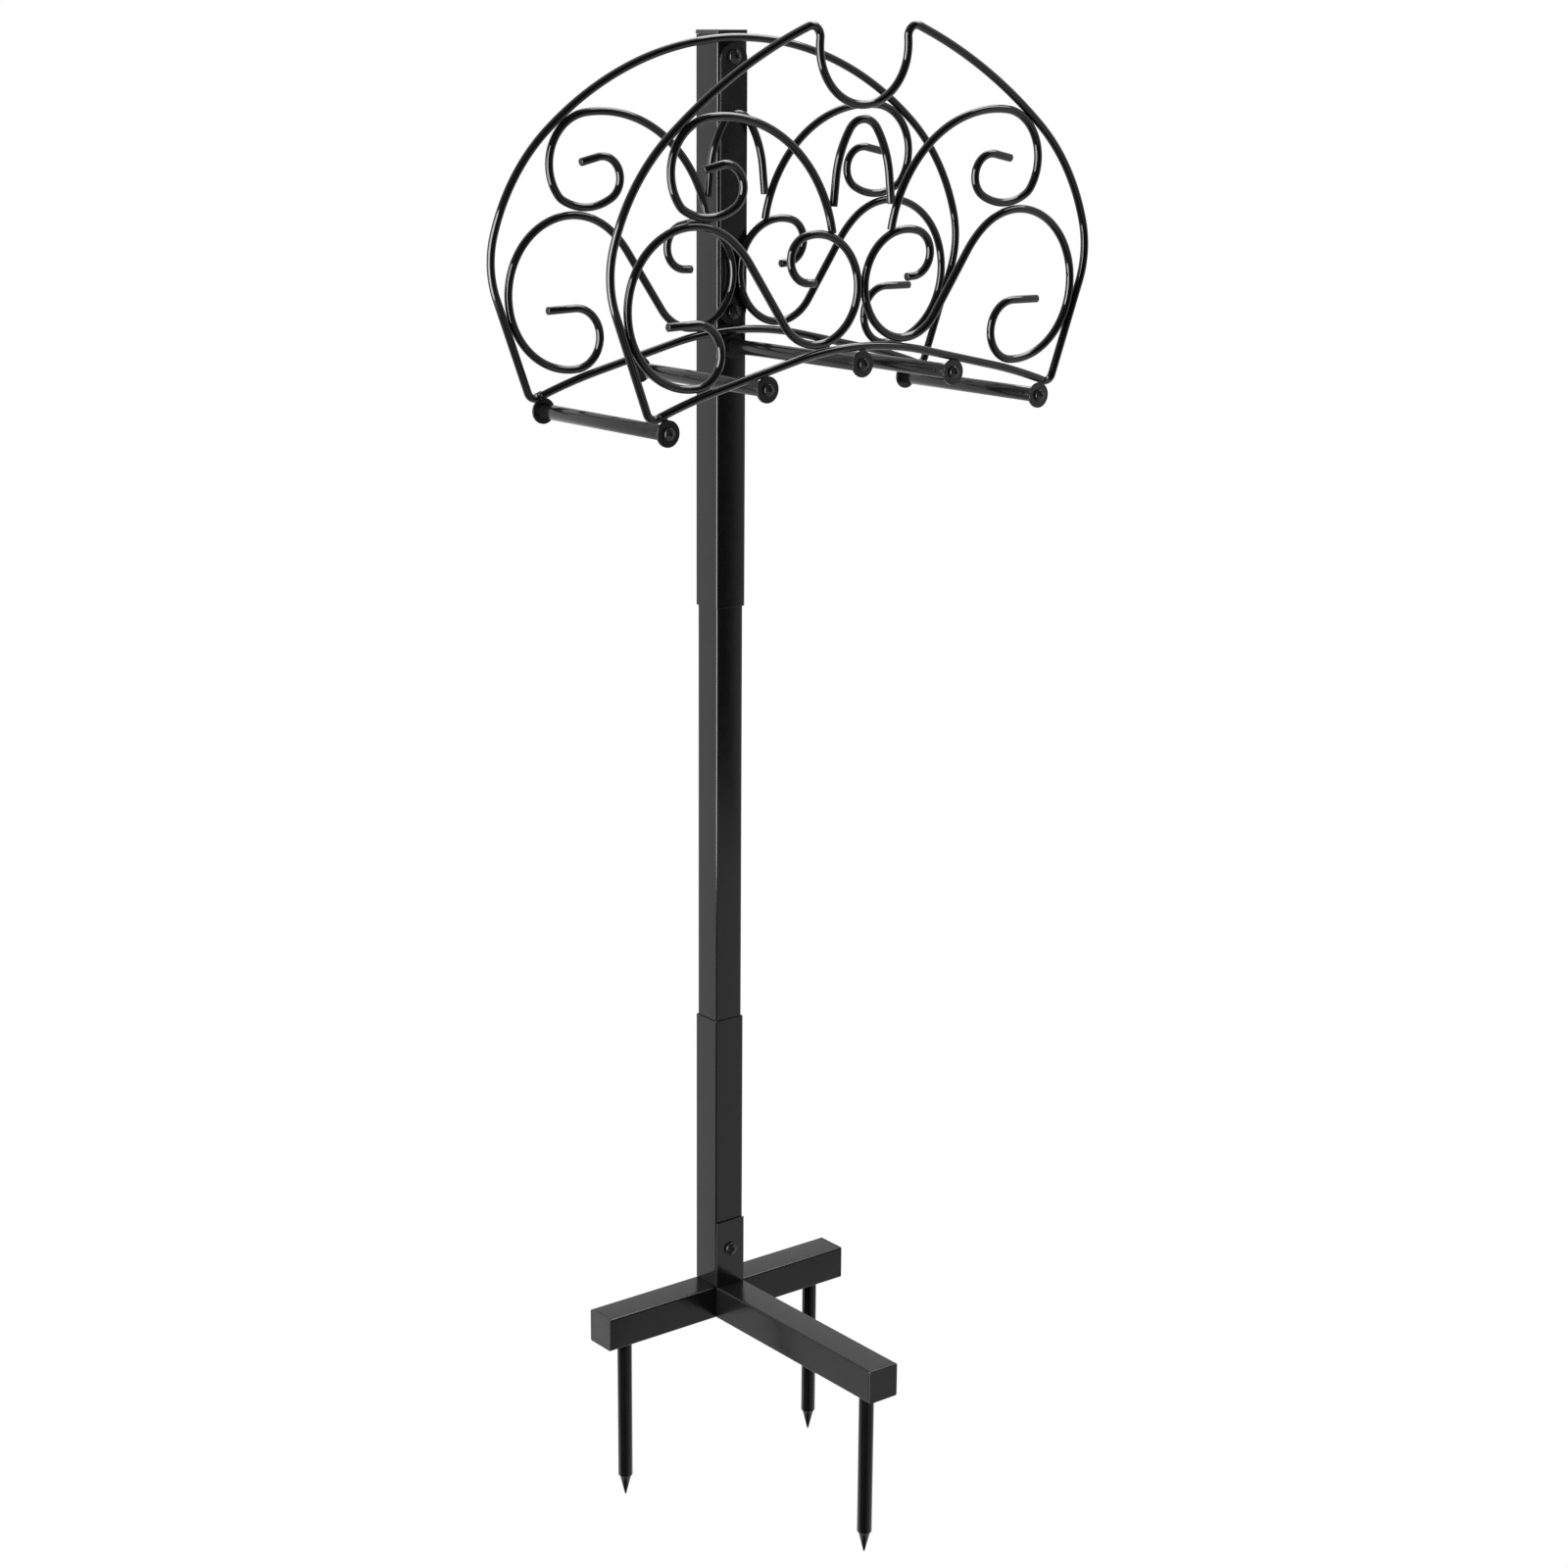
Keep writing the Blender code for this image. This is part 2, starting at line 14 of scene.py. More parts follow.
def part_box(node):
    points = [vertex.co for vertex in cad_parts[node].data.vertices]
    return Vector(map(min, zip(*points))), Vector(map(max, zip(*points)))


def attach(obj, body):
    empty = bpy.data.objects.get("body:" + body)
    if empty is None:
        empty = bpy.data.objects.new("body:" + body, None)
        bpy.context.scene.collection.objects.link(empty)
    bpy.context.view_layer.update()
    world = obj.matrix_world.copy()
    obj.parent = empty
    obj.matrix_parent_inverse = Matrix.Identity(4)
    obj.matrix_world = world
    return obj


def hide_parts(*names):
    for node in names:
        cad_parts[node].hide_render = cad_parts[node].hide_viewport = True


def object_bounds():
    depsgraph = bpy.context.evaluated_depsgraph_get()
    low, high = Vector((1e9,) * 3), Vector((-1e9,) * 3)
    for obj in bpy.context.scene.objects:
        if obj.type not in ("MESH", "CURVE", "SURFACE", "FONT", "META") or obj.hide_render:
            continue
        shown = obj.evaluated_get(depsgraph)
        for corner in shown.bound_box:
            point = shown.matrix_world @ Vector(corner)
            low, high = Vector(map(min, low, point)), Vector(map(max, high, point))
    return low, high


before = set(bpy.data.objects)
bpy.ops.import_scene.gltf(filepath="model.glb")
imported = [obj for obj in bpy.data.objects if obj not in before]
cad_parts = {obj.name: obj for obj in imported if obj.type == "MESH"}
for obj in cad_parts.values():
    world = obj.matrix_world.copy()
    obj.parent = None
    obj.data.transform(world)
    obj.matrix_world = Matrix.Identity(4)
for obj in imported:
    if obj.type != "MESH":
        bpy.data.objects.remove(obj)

cad_low, cad_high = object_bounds()

MM = 0.001


# ------------------------------------------------------------------ finishes
def value_noise(tree, coords, scale, detail=2.0, rough=0.5, stretch=(1, 1, 1)):
    """Noise in the piece's own metres, one feature about 1/scale across."""
    mapping = tree.nodes.new("ShaderNodeMapping")
    mapping.inputs["Scale"].default_value = stretch
    noise = tree.nodes.new("ShaderNodeTexNoise")
    noise.inputs["Scale"].default_value = scale
    noise.inputs["Detail"].default_value = detail
    noise.inputs["Roughness"].default_value = rough
    tree.links.new(coords, mapping.inputs["Vector"])
    tree.links.new(mapping.outputs["Vector"], noise.inputs["Vector"])
    return noise.outputs["Fac"]


def spread(tree, source, low, high, from_low=0.3, from_high=0.7):
    """The source's middle range spread between two values."""
    node = tree.nodes.new("ShaderNodeMapRange")
    node.inputs["From Min"].default_value = from_low
    node.inputs["From Max"].default_value = from_high
    node.inputs["To Min"].default_value = low
    node.inputs["To Max"].default_value = high
    tree.links.new(source, node.inputs["Value"])
    return node.outputs["Result"]


def between(tree, factor, dark, light):
    """A colour that runs from dark to light with the factor."""
    node = tree.nodes.new("ShaderNodeMix")
    node.data_type = "RGBA"
    node.inputs["A"].default_value = (*dark, 1.0)
    node.inputs["B"].default_value = (*light, 1.0)
    tree.links.new(factor, node.inputs["Factor"])
    return node.outputs["Result"]


def relief(tree, height, distance, strength, under=None):
    """A bump of that depth in metres, laid over another one."""
    node = tree.nodes.new("ShaderNodeBump")
    node.inputs["Distance"].default_value = distance
    node.inputs["Strength"].default_value = strength
    tree.links.new(height, node.inputs["Height"])
    if under is not None:
        tree.links.new(under, node.inputs["Normal"])
    return node.outputs["Normal"]


def new_finish(name, metallic=0.0, ior=1.5):
    material = bpy.data.materials.new(name)
    material.use_nodes = True
    tree = material.node_tree
    shader = tree.nodes["Principled BSDF"]
    shader.inputs["Metallic"].default_value = metallic
    shader.inputs["IOR"].default_value = ior
    coords = tree.nodes.new("ShaderNodeTexCoord").outputs["Object"]
    return material, tree, shader, coords


WAVE_HEIGHT, PEEL_HEIGHT = 0.00002, 0.000006
PLASTIC_GRAIN, SCREW_GRAIN = 0.00002, 0.00001


def sprayed_coat(name, dark, light, gloss_low, gloss_high, peel, wave, ior=1.5):
    """Black paint over steel: orange peel, a slow wave under it and faint cloudy patches."""
    material, tree, shader, coords = new_finish(name, ior=ior)
    patches = value_noise(tree, coords, scale=38.0, detail=3.0, rough=0.55)
    tree.links.new(between(tree, patches, dark, light), shader.inputs["Base Color"])
    sheen = value_noise(tree, coords, scale=95.0, detail=4.0, rough=0.6)
    tree.links.new(spread(tree, sheen, gloss_low, gloss_high), shader.inputs["Roughness"])
    slow = relief(tree, value_noise(tree, coords, scale=160.0, detail=1.0), WAVE_HEIGHT, wave)
    fine = relief(tree, value_noise(tree, coords, scale=900.0), PEEL_HEIGHT, peel, under=slow)
    tree.links.new(fine, shader.inputs["Normal"])
    return material


def moulded_plastic(name):
    """Matt moulded black plastic with a fine spark-eroded grain."""
    material, tree, shader, coords = new_finish(name, ior=1.40)
    patches = value_noise(tree, coords, scale=120.0, detail=3.0)
    colour = between(tree, patches, (0.013, 0.013, 0.014), (0.024, 0.024, 0.025))
    tree.links.new(colour, shader.inputs["Base Color"])
    sheen = value_noise(tree, coords, scale=700.0, detail=3.0)
    tree.links.new(spread(tree, sheen, 0.30, 0.46), shader.inputs["Roughness"])
    height = value_noise(tree, coords, scale=1900.0, detail=3.0, rough=0.7)
    grain = relief(tree, height, PLASTIC_GRAIN, 0.35)
    tree.links.new(grain, shader.inputs["Normal"])
    return material


def oiled_screw_black(name):
    """Black oxide on steel: a thin oily sheen and faint patches of a lighter black."""
    material, tree, shader, coords = new_finish(name, metallic=0.6)
    patches = value_noise(tree, coords, scale=420.0, detail=4.0, rough=0.65)
    colour = between(tree, patches, (0.020, 0.020, 0.021), (0.052, 0.051, 0.050))
    tree.links.new(colour, shader.inputs["Base Color"])
    sheen = value_noise(tree, coords, scale=900.0, detail=3.0)
    tree.links.new(spread(tree, sheen, 0.08, 0.15), shader.inputs["Roughness"])
    grain = relief(tree, value_noise(tree, coords, scale=2600.0), SCREW_GRAIN, 0.25)
    tree.links.new(grain, shader.inputs["Normal"])
    return material


# Darkest and lightest colour of each black, then for each coat its gloss range, its peel,
# its wave and, where it isn't 1.5, its index of refraction.
TUBE_BLACK = (0.0042, 0.0042, 0.0044), (0.0072, 0.0072, 0.0075)
WIRE_BLACK = (0.0030, 0.0030, 0.0032), (0.0060, 0.0060, 0.0063)
PLATE_BLACK = (0.0050, 0.0050, 0.0052), (0.0090, 0.0090, 0.0093)
BASE_COAT = sprayed_coat("black_base_coat", *TUBE_BLACK, 0.17, 0.25, 0.10, 0.05, 1.42)
POLE_COAT = sprayed_coat("black_pole_coat", *TUBE_BLACK, 0.07, 0.12, 0.06, 0.04, 1.47)
BAR_COAT = sprayed_coat("black_bar_coat", *WIRE_BLACK, 0.10, 0.16, 0.06, 0.05)
WIRE_COAT = sprayed_coat("black_wire_coat", *WIRE_BLACK, 0.06, 0.12, 0.05, 0.04)
SPIKE_COAT = sprayed_coat("black_spike_coat", *WIRE_BLACK, 0.08, 0.14, 0.06, 0.05, 1.3)
PLATE_COAT = sprayed_coat("black_plate_coat", *PLATE_BLACK, 0.15, 0.24, 0.10, 0.06)
CAP_PLASTIC = moulded_plastic("black_cap_plastic")
SCREW_BLACK = oiled_screw_black("black_oxide_screw")


# ------------------------------------------------------------------ making and placing
FLAT_WEIGHT = 80


def new_piece(name, bm, finish, body, nodes, smooth_angle=38.0, flats=False):
    """The mesh as a finished piece that rides on a body and stands for CAD nodes.

    A piece with flats has its shading held level across them."""
    bmesh.ops.recalc_face_normals(bm, faces=bm.faces)
    mesh = bpy.data.meshes.new(name)
    bm.to_mesh(mesh)
    bm.free()
    mesh.materials.append(finish)
    mesh.shade_smooth()
    mesh.set_sharp_from_angle(angle=math.radians(smooth_angle))
    piece = bpy.data.objects.new(name, mesh)
    bpy.context.scene.collection.objects.link(piece)
    if flats:
        shading = piece.modifiers.new("flats_stay_flat", "WEIGHTED_NORMAL")
        shading.weight = FLAT_WEIGHT
        shading.keep_sharp = True
    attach(piece, body)
    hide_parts(*nodes)


def verts_of(found):
    return [g for g in found["geom"] if isinstance(g, bmesh.types.BMVert)]


def edges_of(found):
    return [g for g in found["geom"] if isinstance(g, bmesh.types.BMEdge)]


def turn(bm, degrees, axis, verts=None, centre=(0, 0, 0)):
    bmesh.ops.rotate(
        bm,
        cent=centre,
        matrix=Matrix.Rotation(math.radians(degrees), 3, axis),
        verts=verts or bm.verts,
    )


def move(bm, offset, verts=None):
    bmesh.ops.translate(bm, vec=offset, verts=verts or bm.verts)


def round_edges(bm, edges, radius, segments):
    bmesh.ops.bevel(
        bm,
        geom=edges,
        offset=radius,
        segments=segments,
        profile=0.5,
        affect="EDGES",
        material=-1,
        clamp_overlap=True,
    )


def middle(node):
    low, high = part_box(node)
    return (low + high) / 2


# ------------------------------------------------------------------ bent wire
WIRE_R = 0.00325
WIRE_SIDES = 24
WIRE_END_ROUND = 0.0007
SMOOTH_CHORD = 0.000015

# A straight is (length,) and a bend is (radius, angle), where + turns left.
SIDE = ((1.5,), (7.5, -89.0), (79.3,), (77.5, -36.7), (162.8, -33.4))
REAR_DOME = SIDE + ((287.8, -40.4),)
FRONT_DOME = SIDE + ((454.5, -19.3), (8.4, -117.4), (47.5, 12.9), (44.1, 83.4))
OUTLINE_START = (-196.45, 845.9, 199.5)
RAIL = ((305.2, 12.8), (74.25,), (500.0, 6.7))
RAIL_MIDDLE = (0.0, 886.4, 180.0)
UPPER_SCROLL = (
    (109.7, 86.0),
    (39.3, 120.6),
    (15.0, 23.2),
    (47.0, 59.4),
    (17.5, 162.9),
    (17.2,),
)
UPPER_START = (-29.69, 974.97, 100.3)
LOWER_SCROLL = (
    (7.5,),
    (17.9, -160.7),
    (42.4, -174.2),
    (38.9, -77.1),
    (58.8,),
    (84.6, 16.5),
    (60.3, 222.6),
    (24.0, 176.9),
    (26.0,),
)
LOWER_START = (-46.2, 937.9, 177.1)
HAIRPIN = ((16.5, 56.0), (80.0, 28.0), (21.5,))
HAIRPIN_TOP = (0.0, 1060.2, 180.0)


def bend_centre(x, z, heading, radius, angle):
    side = math.copysign(1.0, angle)
    return x - side * radius * math.sin(heading), z + side * radius * math.cos(heading)


def walk(start, bends):
    """Where a run of bends ends: x and z in millimetres and the heading in degrees."""
    x, z, heading = start[0], start[1], math.radians(start[2])
    for bend in bends:
        if len(bend) == 1:
            x += bend[0] * math.cos(heading)
            z += bend[0] * math.sin(heading)
            continue
        radius, angle = bend[0], math.radians(bend[1])
        side = math.copysign(1.0, angle)
        centre_x, centre_z = bend_centre(x, z, heading, radius, angle)
        heading += angle
        x = centre_x + side * radius * math.sin(heading)
        z = centre_z - side * radius * math.cos(heading)
    return x, z, math.degrees(heading)


def mirrored(start, bends):
    """The same run of bends on the other side of X = 0."""
    flipped = tuple(b if len(b) == 1 else (b[0], -b[1]) for b in bends)
    return (-start[0], start[1], 180.0 - start[2]), flipped


def bent_wire(start, bends, y):
    """A round wire swept along its bends at one depth, its cut ends slightly rounded."""
    bm = bmesh.new()
    ring = bmesh.ops.create_circle(bm, segments=WIRE_SIDES, radius=WIRE_R)["verts"]
    x, z, heading = start[0] * MM, start[1] * MM, math.radians(start[2])
    turn(bm, 90.0 - start[2], "Y", ring)
    move(bm, (x, y, z), ring)
    first = list(bm.edges)
    edges = list(first)
    for bend in bends:
        if len(bend) == 1:
            step = Vector((math.cos(heading), 0.0, math.sin(heading))) * bend[0] * MM
            grown = bmesh.ops.extrude_edge_only(bm, edges=edges)
            move(bm, step, verts_of(grown))
            edges = edges_of(grown)
            x, z = x + step.x, z + step.z
            continue
        radius, angle = bend[0] * MM, math.radians(bend[1])
        side = math.copysign(1.0, angle)
        centre_x, centre_z = bend_centre(x, z, heading, radius, angle)
        step = 2 * math.acos(1 - SMOOTH_CHORD / (radius + WIRE_R))
        spun = bmesh.ops.spin(
            bm,
            geom=edges,
            cent=(centre_x, y, centre_z),
            axis=(0, -side, 0),
            angle=abs(angle),
            steps=max(3, math.ceil(abs(angle) / step)),
            use_duplicate=False,
        )
        edges = [g for g in spun["geom_last"] if isinstance(g, bmesh.types.BMEdge)]
        heading += angle
        x = centre_x + side * radius * math.sin(heading)
        z = centre_z - side * radius * math.cos(heading)
    for rim in (first, edges):
        bmesh.ops.edgeloop_fill(bm, edges=rim)
    round_edges(bm, first + edges, WIRE_END_ROUND, 3)
    return bm


def over_the_middle(start, half):
    """A half outline that ends near X = 0, centred and carried on to its mirror image."""
    shift = walk(start, half)[0]
    return (start[0] - shift, start[1], start[2]), half + half[::-1]


def out_from_the_middle(start, half):
    """A half that starts at X = 0 going left, with its mirror image before it."""
    x, z, heading = walk(start, half)
    return (-x, z, -heading), half[::-1] + half


for panel, dome in (("rear", REAR_DOME), ("front", FRONT_DOME)):
    panel_y = middle(panel + "_bottom_rail").y
    for part, (run_start, run) in {
        "panel_outline": over_the_middle(OUTLINE_START, dome),
        "bottom_rail": out_from_the_middle(RAIL_MIDDLE, RAIL),
        "upper_scroll_left": (UPPER_START, UPPER_SCROLL),
        "upper_scroll_right": mirrored(UPPER_START, UPPER_SCROLL),
        "lower_scroll_left": (LOWER_START, LOWER_SCROLL),
        "lower_scroll_right": mirrored(LOWER_START, LOWER_SCROLL),
        "hairpin": out_from_the_middle(HAIRPIN_TOP, HAIRPIN),
    }.items():
        node = "%s_%s" % (panel, part)
        wire = bent_wire(run_start, run, panel_y)
        new_piece(node + "_wire", wire, WIRE_COAT, "upper_section", [node])


# ------------------------------------------------------------------ square tube
TUBE_CORNER = 0.0016
CORNER_SEGMENTS = 6
TUBE_CROWN = 0.00015
SIDE_CUTS = 9
TUBE_LIP = 0.0004


def square_ring(bm, width, corner, crown=0.0):
    """A square of edges in the XY plane with round corners and slightly proud sides."""
    made = bmesh.ops.create_circle(bm, segments=4, radius=width / math.sqrt(2))
    turn(bm, 45.0, "Z", made["verts"])
    bmesh.ops.bevel(
        bm,
        geom=made["verts"],
        offset=corner,
        segments=CORNER_SEGMENTS,
        profile=0.5,
        affect="VERTICES",
        material=-1,
    )
    if not crown:
        return list(bm.edges)
    sides = [e for e in bm.edges if e.calc_length() > width / 2]
    bmesh.ops.subdivide_edges(bm, edges=sides, cuts=SIDE_CUTS)
    flat = width / 2 - corner
    for vert in bm.verts:
        for across, along in ((0, 1), (1, 0)):
            if abs(vert.co[along]) < flat - 0.00001:
                share = 1 - (vert.co[along] / flat) ** 2
                vert.co[across] += math.copysign(crown * share, vert.co[across])
    return list(bm.edges)


def sleeve(stations, corner):
    """A square wall run through (width, height) stations and closed on itself."""
    bm = bmesh.new()
    first = square_ring(bm, stations[0][0], corner, TUBE_CROWN)
    move(bm, (0, 0, stations[0][1]))
    edges, before = first, stations[0]
    for width, height in stations[1:]:
        grown = bmesh.ops.extrude_edge_only(bm, edges=edges)
        verts = verts_of(grown)
        ratio = width / before[0]
        bmesh.ops.scale(bm, vec=(ratio, ratio, 1.0), verts=verts)
        move(bm, (0, 0, height - before[1]), verts)
        edges, before = edges_of(grown), (width, height)
    bmesh.ops.bridge_loops(bm, edges=first + edges)
    return bm


def tube_stations(width, bore, low, high):
    """Outside from low to high with small round lips, then back down the bore."""
    lip = TUBE_LIP
    return (
        (width - 2 * lip, low),
        (width - 0.6 * lip, low + 0.3 * lip),
        (width, low + lip),
        (width, high - lip),
        (width - 0.6 * lip, high - 0.3 * lip),
        (width - 2 * lip, high),
        (bore + lip, high),
        (bore, high - lip),
        (bore, low + lip),
        (bore + lip, low),
    )


TUBE = 0.030
TUBE_BORE = 0.027
SOCKET_BORE = 0.0281
MIDDLE_BORE = 0.0251
POLE_BORE = 0.0260


def lay_along(bm, axis):
    """A piece made along +Z laid along +X or +Y."""
    if axis == "X":
        turn(bm, 90.0, "Y")
    if axis == "Y":
        turn(bm, -90.0, "X")


for node, axis, bore, body, coat in (
    ("base_crossbar", "X", TUBE_BORE, "base", BASE_COAT),
    ("base_front_leg", "Y", TUBE_BORE, "base", BASE_COAT),
    ("pole_lower", "Z", SOCKET_BORE, "base", POLE_COAT),
    ("pole_middle", "Z", MIDDLE_BORE, "middle_section", POLE_COAT),
    ("pole_upper", "Z", SOCKET_BORE, "upper_section", POLE_COAT),
):
    low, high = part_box(node)
    size = high - low
    along = "XYZ".index(axis)
    half = size[along] / 2
    tube = sleeve(tube_stations(min(size), bore, -half, half), TUBE_CORNER)
    lay_along(tube, axis)
    move(tube, (low + high) / 2)
    new_piece(node + "_tube", tube, coat, body, [node], flats=True)


# ------------------------------------------------------------------ caps
CAP_ROUND = 0.0007
CAP_FLANGE, CAP_DEPTH, CAP_PLUG_PLAY = 0.002, 0.010, 0.0008
CAP_TURNS = {"-X": (-90.0, "Y"), "+X": (90.0, "Y"), "-Y": (90.0, "X"), "+Z": (0.0, "Z")}


def cap_piece(node, outward, body, width, flange, plug):
    """A square flange with a plug behind it, made facing +Z and turned to face outward."""
    bm = bmesh.new()
    edges = square_ring(bm, width, TUBE_CORNER)
    bmesh.ops.edgeloop_fill(bm, edges=edges)
    grown = bmesh.ops.extrude_face_region(bm, geom=bm.faces[:])
    move(bm, (0, 0, -flange), verts_of(grown))
    bmesh.ops.recalc_face_normals(bm, faces=bm.faces)
    outer = max(bm.faces, key=lambda f: f.calc_center_median().z)
    inner = min(bm.faces, key=lambda f: f.calc_center_median().z)
    rim = list(outer.edges)
    bmesh.ops.inset_region(
        bm, faces=[inner], thickness=(width - plug) / 2, use_even_offset=True
    )
    grown = bmesh.ops.extrude_face_region(bm, geom=[inner])
    move(bm, (0, 0, -CAP_DEPTH), verts_of(grown))
    bmesh.ops.delete(bm, geom=[inner], context="FACES_ONLY")
    round_edges(bm, rim, CAP_ROUND, 4)
    turn(bm, *CAP_TURNS[outward])
    low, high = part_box(node)
    place = (low + high) / 2
    along = "XYZ".index(outward[1])
    place[along] = high[along] if outward[0] == "+" else low[along]
    move(bm, place)
    new_piece(
        node + "_moulding",
        bm,
        CAP_PLASTIC,
        body,
        [node],
        smooth_angle=30.0,
        flats=True,
    )


for node, outward in (("base_cap_left", "-X"), ("base_cap_right", "+X"), ("base_cap_front", "-Y")):
    cap_piece(node, outward, "base", TUBE, CAP_FLANGE, TUBE_BORE - CAP_PLUG_PLAY)
low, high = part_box("pole_top_cap")
cap_piece(
    "pole_top_cap",
    "+Z",
    "upper_section",
    width=high.x - low.x,
    flange=high.z - low.z - CAP_DEPTH,
    plug=POLE_BORE - CAP_PLUG_PLAY,
)


# ------------------------------------------------------------------ turned pieces
TURNED_STEPS, SCREW_STEPS = 40, 48


def turned(profile, steps):
    """(radius, height) points turned about Z into a closed body."""
    bm = bmesh.new()
    verts = [bm.verts.new((radius, 0.0, height)) for radius, height in profile]
    for a, b in zip(verts, verts[1:]):
        bm.edges.new((a, b))
    bmesh.ops.spin(
        bm,
        geom=bm.verts[:] + bm.edges[:],
        cent=(0, 0, 0),
        axis=(0, 0, 1),
        angle=math.tau,
        steps=steps,
        use_merge=True,
    )
    bmesh.ops.remove_doubles(bm, verts=bm.verts, dist=0.00001)
    return bm


def arc(centre_r, centre_z, radius, first, last, count):
    """Profile points on an arc, angles in degrees from outwards towards up."""
    found = []
    for i in range(count + 1):
        angle = math.radians(first + (last - first) * i / count)
        found.append((centre_r + radius * math.cos(angle), centre_z + radius * math.sin(angle)))
    return found


SPIKE_CONE, SPIKE_TIP_R, SPIKE_SOFT = 0.020, 0.0006, 0.0005
SHOULDER_SOFT, SHOULDER_DROP = 0.0004, 0.0012
SHOULDER_SHARE, CONE_SHARE = 0.97, 0.80

for side in ("left", "right", "front"):
    node = "ground_spike_" + side
    low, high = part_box(node)
    radius = (high.x - low.x) / 2
    shoulder = low.z + SPIKE_CONE
    profile = [
        (0.0, high.z),
        (radius - SPIKE_SOFT, high.z),
        (radius, high.z - SPIKE_SOFT),
        (radius, shoulder + SHOULDER_SOFT),
        (radius * SHOULDER_SHARE, shoulder),
        (radius * CONE_SHARE, shoulder - SHOULDER_DROP),
        (SPIKE_TIP_R, low.z + SPIKE_SOFT),
        (0.0, low.z),
    ]
    spike = turned(profile, TURNED_STEPS)
    centre = middle(node)
    move(spike, (centre.x, centre.y, 0.0))
    new_piece(node + "_rod", spike, SPIKE_COAT, "base", [node], smooth_angle=30.0)

BAR_BORE_R, BAR_BORE_DEPTH = 0.0027, 0.016
BAR_LIP, BORE_LIP = 0.0005, 0.0003

for number in range(1, 6):
    node = "hose_bar_%d" % number
    low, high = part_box(node)
    radius, end = (high.x - low.x) / 2, (high.y - low.y) / 2
    half_profile = [
        (0.0, end - BAR_BORE_DEPTH),
        (BAR_BORE_R, end - BAR_BORE_DEPTH),
        (BAR_BORE_R, end - BORE_LIP),
        (BAR_BORE_R + BORE_LIP, end),
        (radius - BAR_LIP, end),
        (radius - 0.3 * BAR_LIP, end - 0.3 * BAR_LIP),
        (radius, end - BAR_LIP),
    ]
    bar = turned(half_profile + [(r, -z) for r, z in half_profile[::-1]], TURNED_STEPS)
    lay_along(bar, "Y")
    move(bar, (low + high) / 2)
    new_piece(
        node + "_rod", bar, BAR_COAT, "upper_section", [node], smooth_angle=30.0
    )


# ------------------------------------------------------------------ plates
PLATE_EDGE = 0.0003
HOLE_SIDES = 24
RIM_ANGLE = math.radians(60)
LEVEL = 0.000001


def round_run(bm, x, z, radius, first, sweep, steps):
    """Edges round a centre in the XZ plane, degrees from +X towards +Z: their two ends."""
    angle = math.radians(first)
    start = bm.verts.new((x + radius * math.cos(angle), 0.0, z + radius * math.sin(angle)))
    spun = bmesh.ops.spin(
        bm,
        geom=[start],
        cent=(x, 0, z),
        axis=(0, -1, 0),
        angle=math.radians(sweep),
        steps=steps,
        use_duplicate=False,
    )
    return start, next(g for g in spun["geom_last"] if isinstance(g, bmesh.types.BMVert))


def straight_run(bm, start, corners, end):
    """Edges from one vertex through the (x, z) corners to another."""
    stops = [start] + [bm.verts.new((x, 0.0, z)) for x, z in corners] + [end]
    for a, b in zip(stops, stops[1:]):
        bm.edges.new((a, b))


def hole(bm, z, radius):
    """A round hole's rim in the XZ plane, on X = 0."""
    rim = bmesh.ops.create_circle(bm, segments=HOLE_SIDES, radius=radius)["verts"]
    turn(bm, 90.0, "X", rim)
    move(bm, (0, 0, z), rim)


def plate(bm, thickness):
    """The flat outline with its holes filled and thickened along Y, its rims softened."""
    bmesh.ops.triangle_fill(bm, use_beauty=True, use_dissolve=True, edges=bm.edges[:])
    grown = bmesh.ops.extrude_face_region(bm, geom=bm.faces[:])
    move(bm, (0, thickness, 0), verts_of(grown))
    move(bm, (0, -thickness / 2, 0))
    bmesh.ops.recalc_face_normals(bm, faces=bm.faces)
    bent = [e for e in bm.edges if e.is_manifold and e.calc_face_angle(0) > RIM_ANGLE]
    rims = [e for e in bent if abs(e.verts[0].co.y - e.verts[1].co.y) < LEVEL]
    round_edges(bm, rims, PLATE_EDGE, 2)


EAR_R, EAR_TAB_HALF = 0.0104, 0.0031
EAR_HOLE_R, BOLT_HOLE_R = 0.0028, 0.0033
EAR_STEPS, STRIP_STEPS = 44, 28
FRONT_TAB_SHORT, REAR_TAB_OVER = 0.0026, 0.0024


def rail_over(x, z):
    """How far the rail's middle line is from a point under it, and the rail's slope there."""
    (bend_r, bend), (straight,), (tip_r, _) = RAIL
    bend, top = math.radians(bend), RAIL_MIDDLE[1]
    out = abs(x) / MM
    bend_x, bend_z = bend_r * math.sin(bend), top - bend_r * (1 - math.cos(bend))
    tip_x, tip_z = bend_x + straight * math.cos(bend), bend_z - straight * math.sin(bend)
    if out < bend_x:
        slope = math.asin(out / bend_r)
        rail_z = top - bend_r * (1 - math.cos(slope))
    elif out < tip_x:
        slope, rail_z = bend, bend_z - (out - bend_x) * math.tan(bend)
    else:
        slope = math.asin(math.sin(bend) + (out - tip_x) / tip_r)
        rail_z = tip_z - tip_r * (math.cos(bend) - math.cos(slope))
    return (rail_z * MM - z) * math.cos(slope), math.degrees(math.copysign(slope, x))


